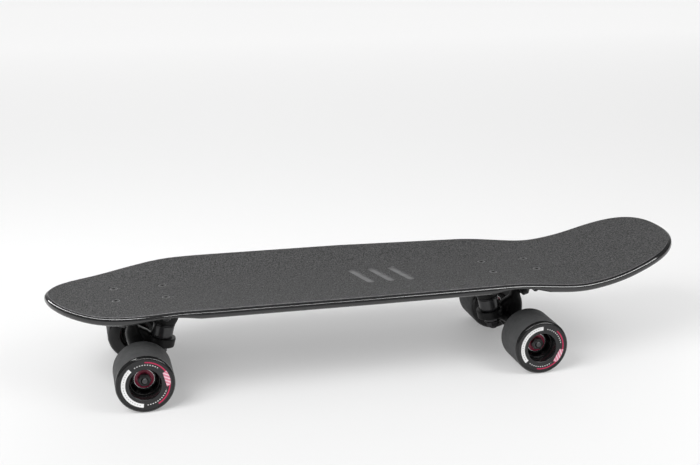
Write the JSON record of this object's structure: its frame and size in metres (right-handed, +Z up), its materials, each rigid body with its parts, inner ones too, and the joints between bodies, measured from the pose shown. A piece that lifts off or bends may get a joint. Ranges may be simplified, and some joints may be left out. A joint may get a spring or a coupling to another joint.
{
  "type": "cruiser skateboard",
  "caption": "Cruiser skateboard with a concave kicktail deck, grip tape, steering trucks and soft wheels on ball bearings.",
  "frame": {"origin": "on the floor under the wheels, at the middle of the board's length and width", "axes": "+X from the nose to the tail, +Y to the right of a rider who faces the nose, +Z up"},
  "size_m": [0.7312, 0.2028, 0.1371],
  "materials": {
    "stained_maple": "black stain under clear lacquer",
    "grip_grit": "coarse grit sheet, dark grey",
    "black_rubber": "matte moulded",
    "black_cast": "black baked coating on cast metal, satin",
    "black_plastic": "moulded, satin",
    "dark_steel": "black oxide",
    "zinc_steel": "zinc plated",
    "bushing_urethane": "cast urethane, smooth",
    "tyre_urethane": "soft cast urethane, stone ground tread",
    "core_plastic": "moulded, glossy",
    "bearing_steel": "polished, with a red shield"
  },
  "bodies": {
    "board": {"deck": "stained_maple", "grip_tape": "grip_grit", "front_riser": "black_rubber", "front_baseplate": "black_cast", "front_pivot_cup": "black_plastic", "front_kingpin": "dark_steel", "front_kingpin_nut": "zinc_steel", "front_boardside_bushing": "bushing_urethane", "front_roadside_bushing": "bushing_urethane", "front_boardside_washer": "dark_steel", "front_roadside_washer": "dark_steel", "front_deck_bolt_1": "dark_steel", "front_deck_bolt_2": "dark_steel", "front_deck_bolt_3": "dark_steel", "front_deck_bolt_4": "dark_steel", "rear_riser": "black_rubber", "rear_baseplate": "black_cast", "rear_pivot_cup": "black_plastic", "rear_kingpin": "dark_steel", "rear_kingpin_nut": "zinc_steel", "rear_boardside_bushing": "bushing_urethane", "rear_roadside_bushing": "bushing_urethane", "rear_boardside_washer": "dark_steel", "rear_roadside_washer": "dark_steel", "rear_deck_bolt_1": "dark_steel", "rear_deck_bolt_2": "dark_steel", "rear_deck_bolt_3": "dark_steel", "rear_deck_bolt_4": "dark_steel"},
    "front_left_wheel": {"front_left_tyre": "tyre_urethane", "front_left_core": "core_plastic", "front_left_inner_bearing": "bearing_steel", "front_left_outer_bearing": "bearing_steel"},
    "front_right_wheel": {"front_right_tyre": "tyre_urethane", "front_right_core": "core_plastic", "front_right_inner_bearing": "bearing_steel", "front_right_outer_bearing": "bearing_steel"},
    "front_truck": {"front_hanger": "black_cast", "front_axle": "zinc_steel", "front_left_bearing_spacer": "zinc_steel", "front_left_speed_ring": "zinc_steel", "front_left_axle_nut": "zinc_steel", "front_right_bearing_spacer": "zinc_steel", "front_right_speed_ring": "zinc_steel", "front_right_axle_nut": "zinc_steel"},
    "rear_left_wheel": {"rear_left_tyre": "tyre_urethane", "rear_left_core": "core_plastic", "rear_left_inner_bearing": "bearing_steel", "rear_left_outer_bearing": "bearing_steel"},
    "rear_right_wheel": {"rear_right_tyre": "tyre_urethane", "rear_right_core": "core_plastic", "rear_right_inner_bearing": "bearing_steel", "rear_right_outer_bearing": "bearing_steel"},
    "rear_truck": {"rear_hanger": "black_cast", "rear_axle": "zinc_steel", "rear_left_bearing_spacer": "zinc_steel", "rear_left_speed_ring": "zinc_steel", "rear_left_axle_nut": "zinc_steel", "rear_right_bearing_spacer": "zinc_steel", "rear_right_speed_ring": "zinc_steel", "rear_right_axle_nut": "zinc_steel"}
  },
  "joints": [
    {"name": "front_steering", "type": "hinge", "parent": "board", "child": "front_truck", "pos_m": [-0.2423, 0, 0.04285], "axis": [-0.7971, 0, 0.6039], "range_deg": [-20, 20], "stiffness_Nm_per_rad": 30, "deforming": ["front_boardside_bushing", "front_roadside_bushing"]},
    {"name": "front_left_wheel_spin", "type": "hinge", "parent": "front_truck", "child": "front_left_wheel", "pos_m": [-0.2675, -0.0699, 0.03135], "axis": [0, 1, 0], "continuous": true},
    {"name": "front_right_wheel_spin", "type": "hinge", "parent": "front_truck", "child": "front_right_wheel", "pos_m": [-0.2675, 0.0699, 0.03135], "axis": [0, 1, 0], "continuous": true},
    {"name": "rear_steering", "type": "hinge", "parent": "board", "child": "rear_truck", "pos_m": [0.1505, 0, 0.04285], "axis": [0.7971, 0, 0.6039], "range_deg": [-20, 20], "stiffness_Nm_per_rad": 30, "deforming": ["rear_boardside_bushing", "rear_roadside_bushing"]},
    {"name": "rear_left_wheel_spin", "type": "hinge", "parent": "rear_truck", "child": "rear_left_wheel", "pos_m": [0.1757, -0.0699, 0.03135], "axis": [0, 1, 0], "continuous": true},
    {"name": "rear_right_wheel_spin", "type": "hinge", "parent": "rear_truck", "child": "rear_right_wheel", "pos_m": [0.1757, 0.0699, 0.03135], "axis": [0, 1, 0], "continuous": true}
  ]
}
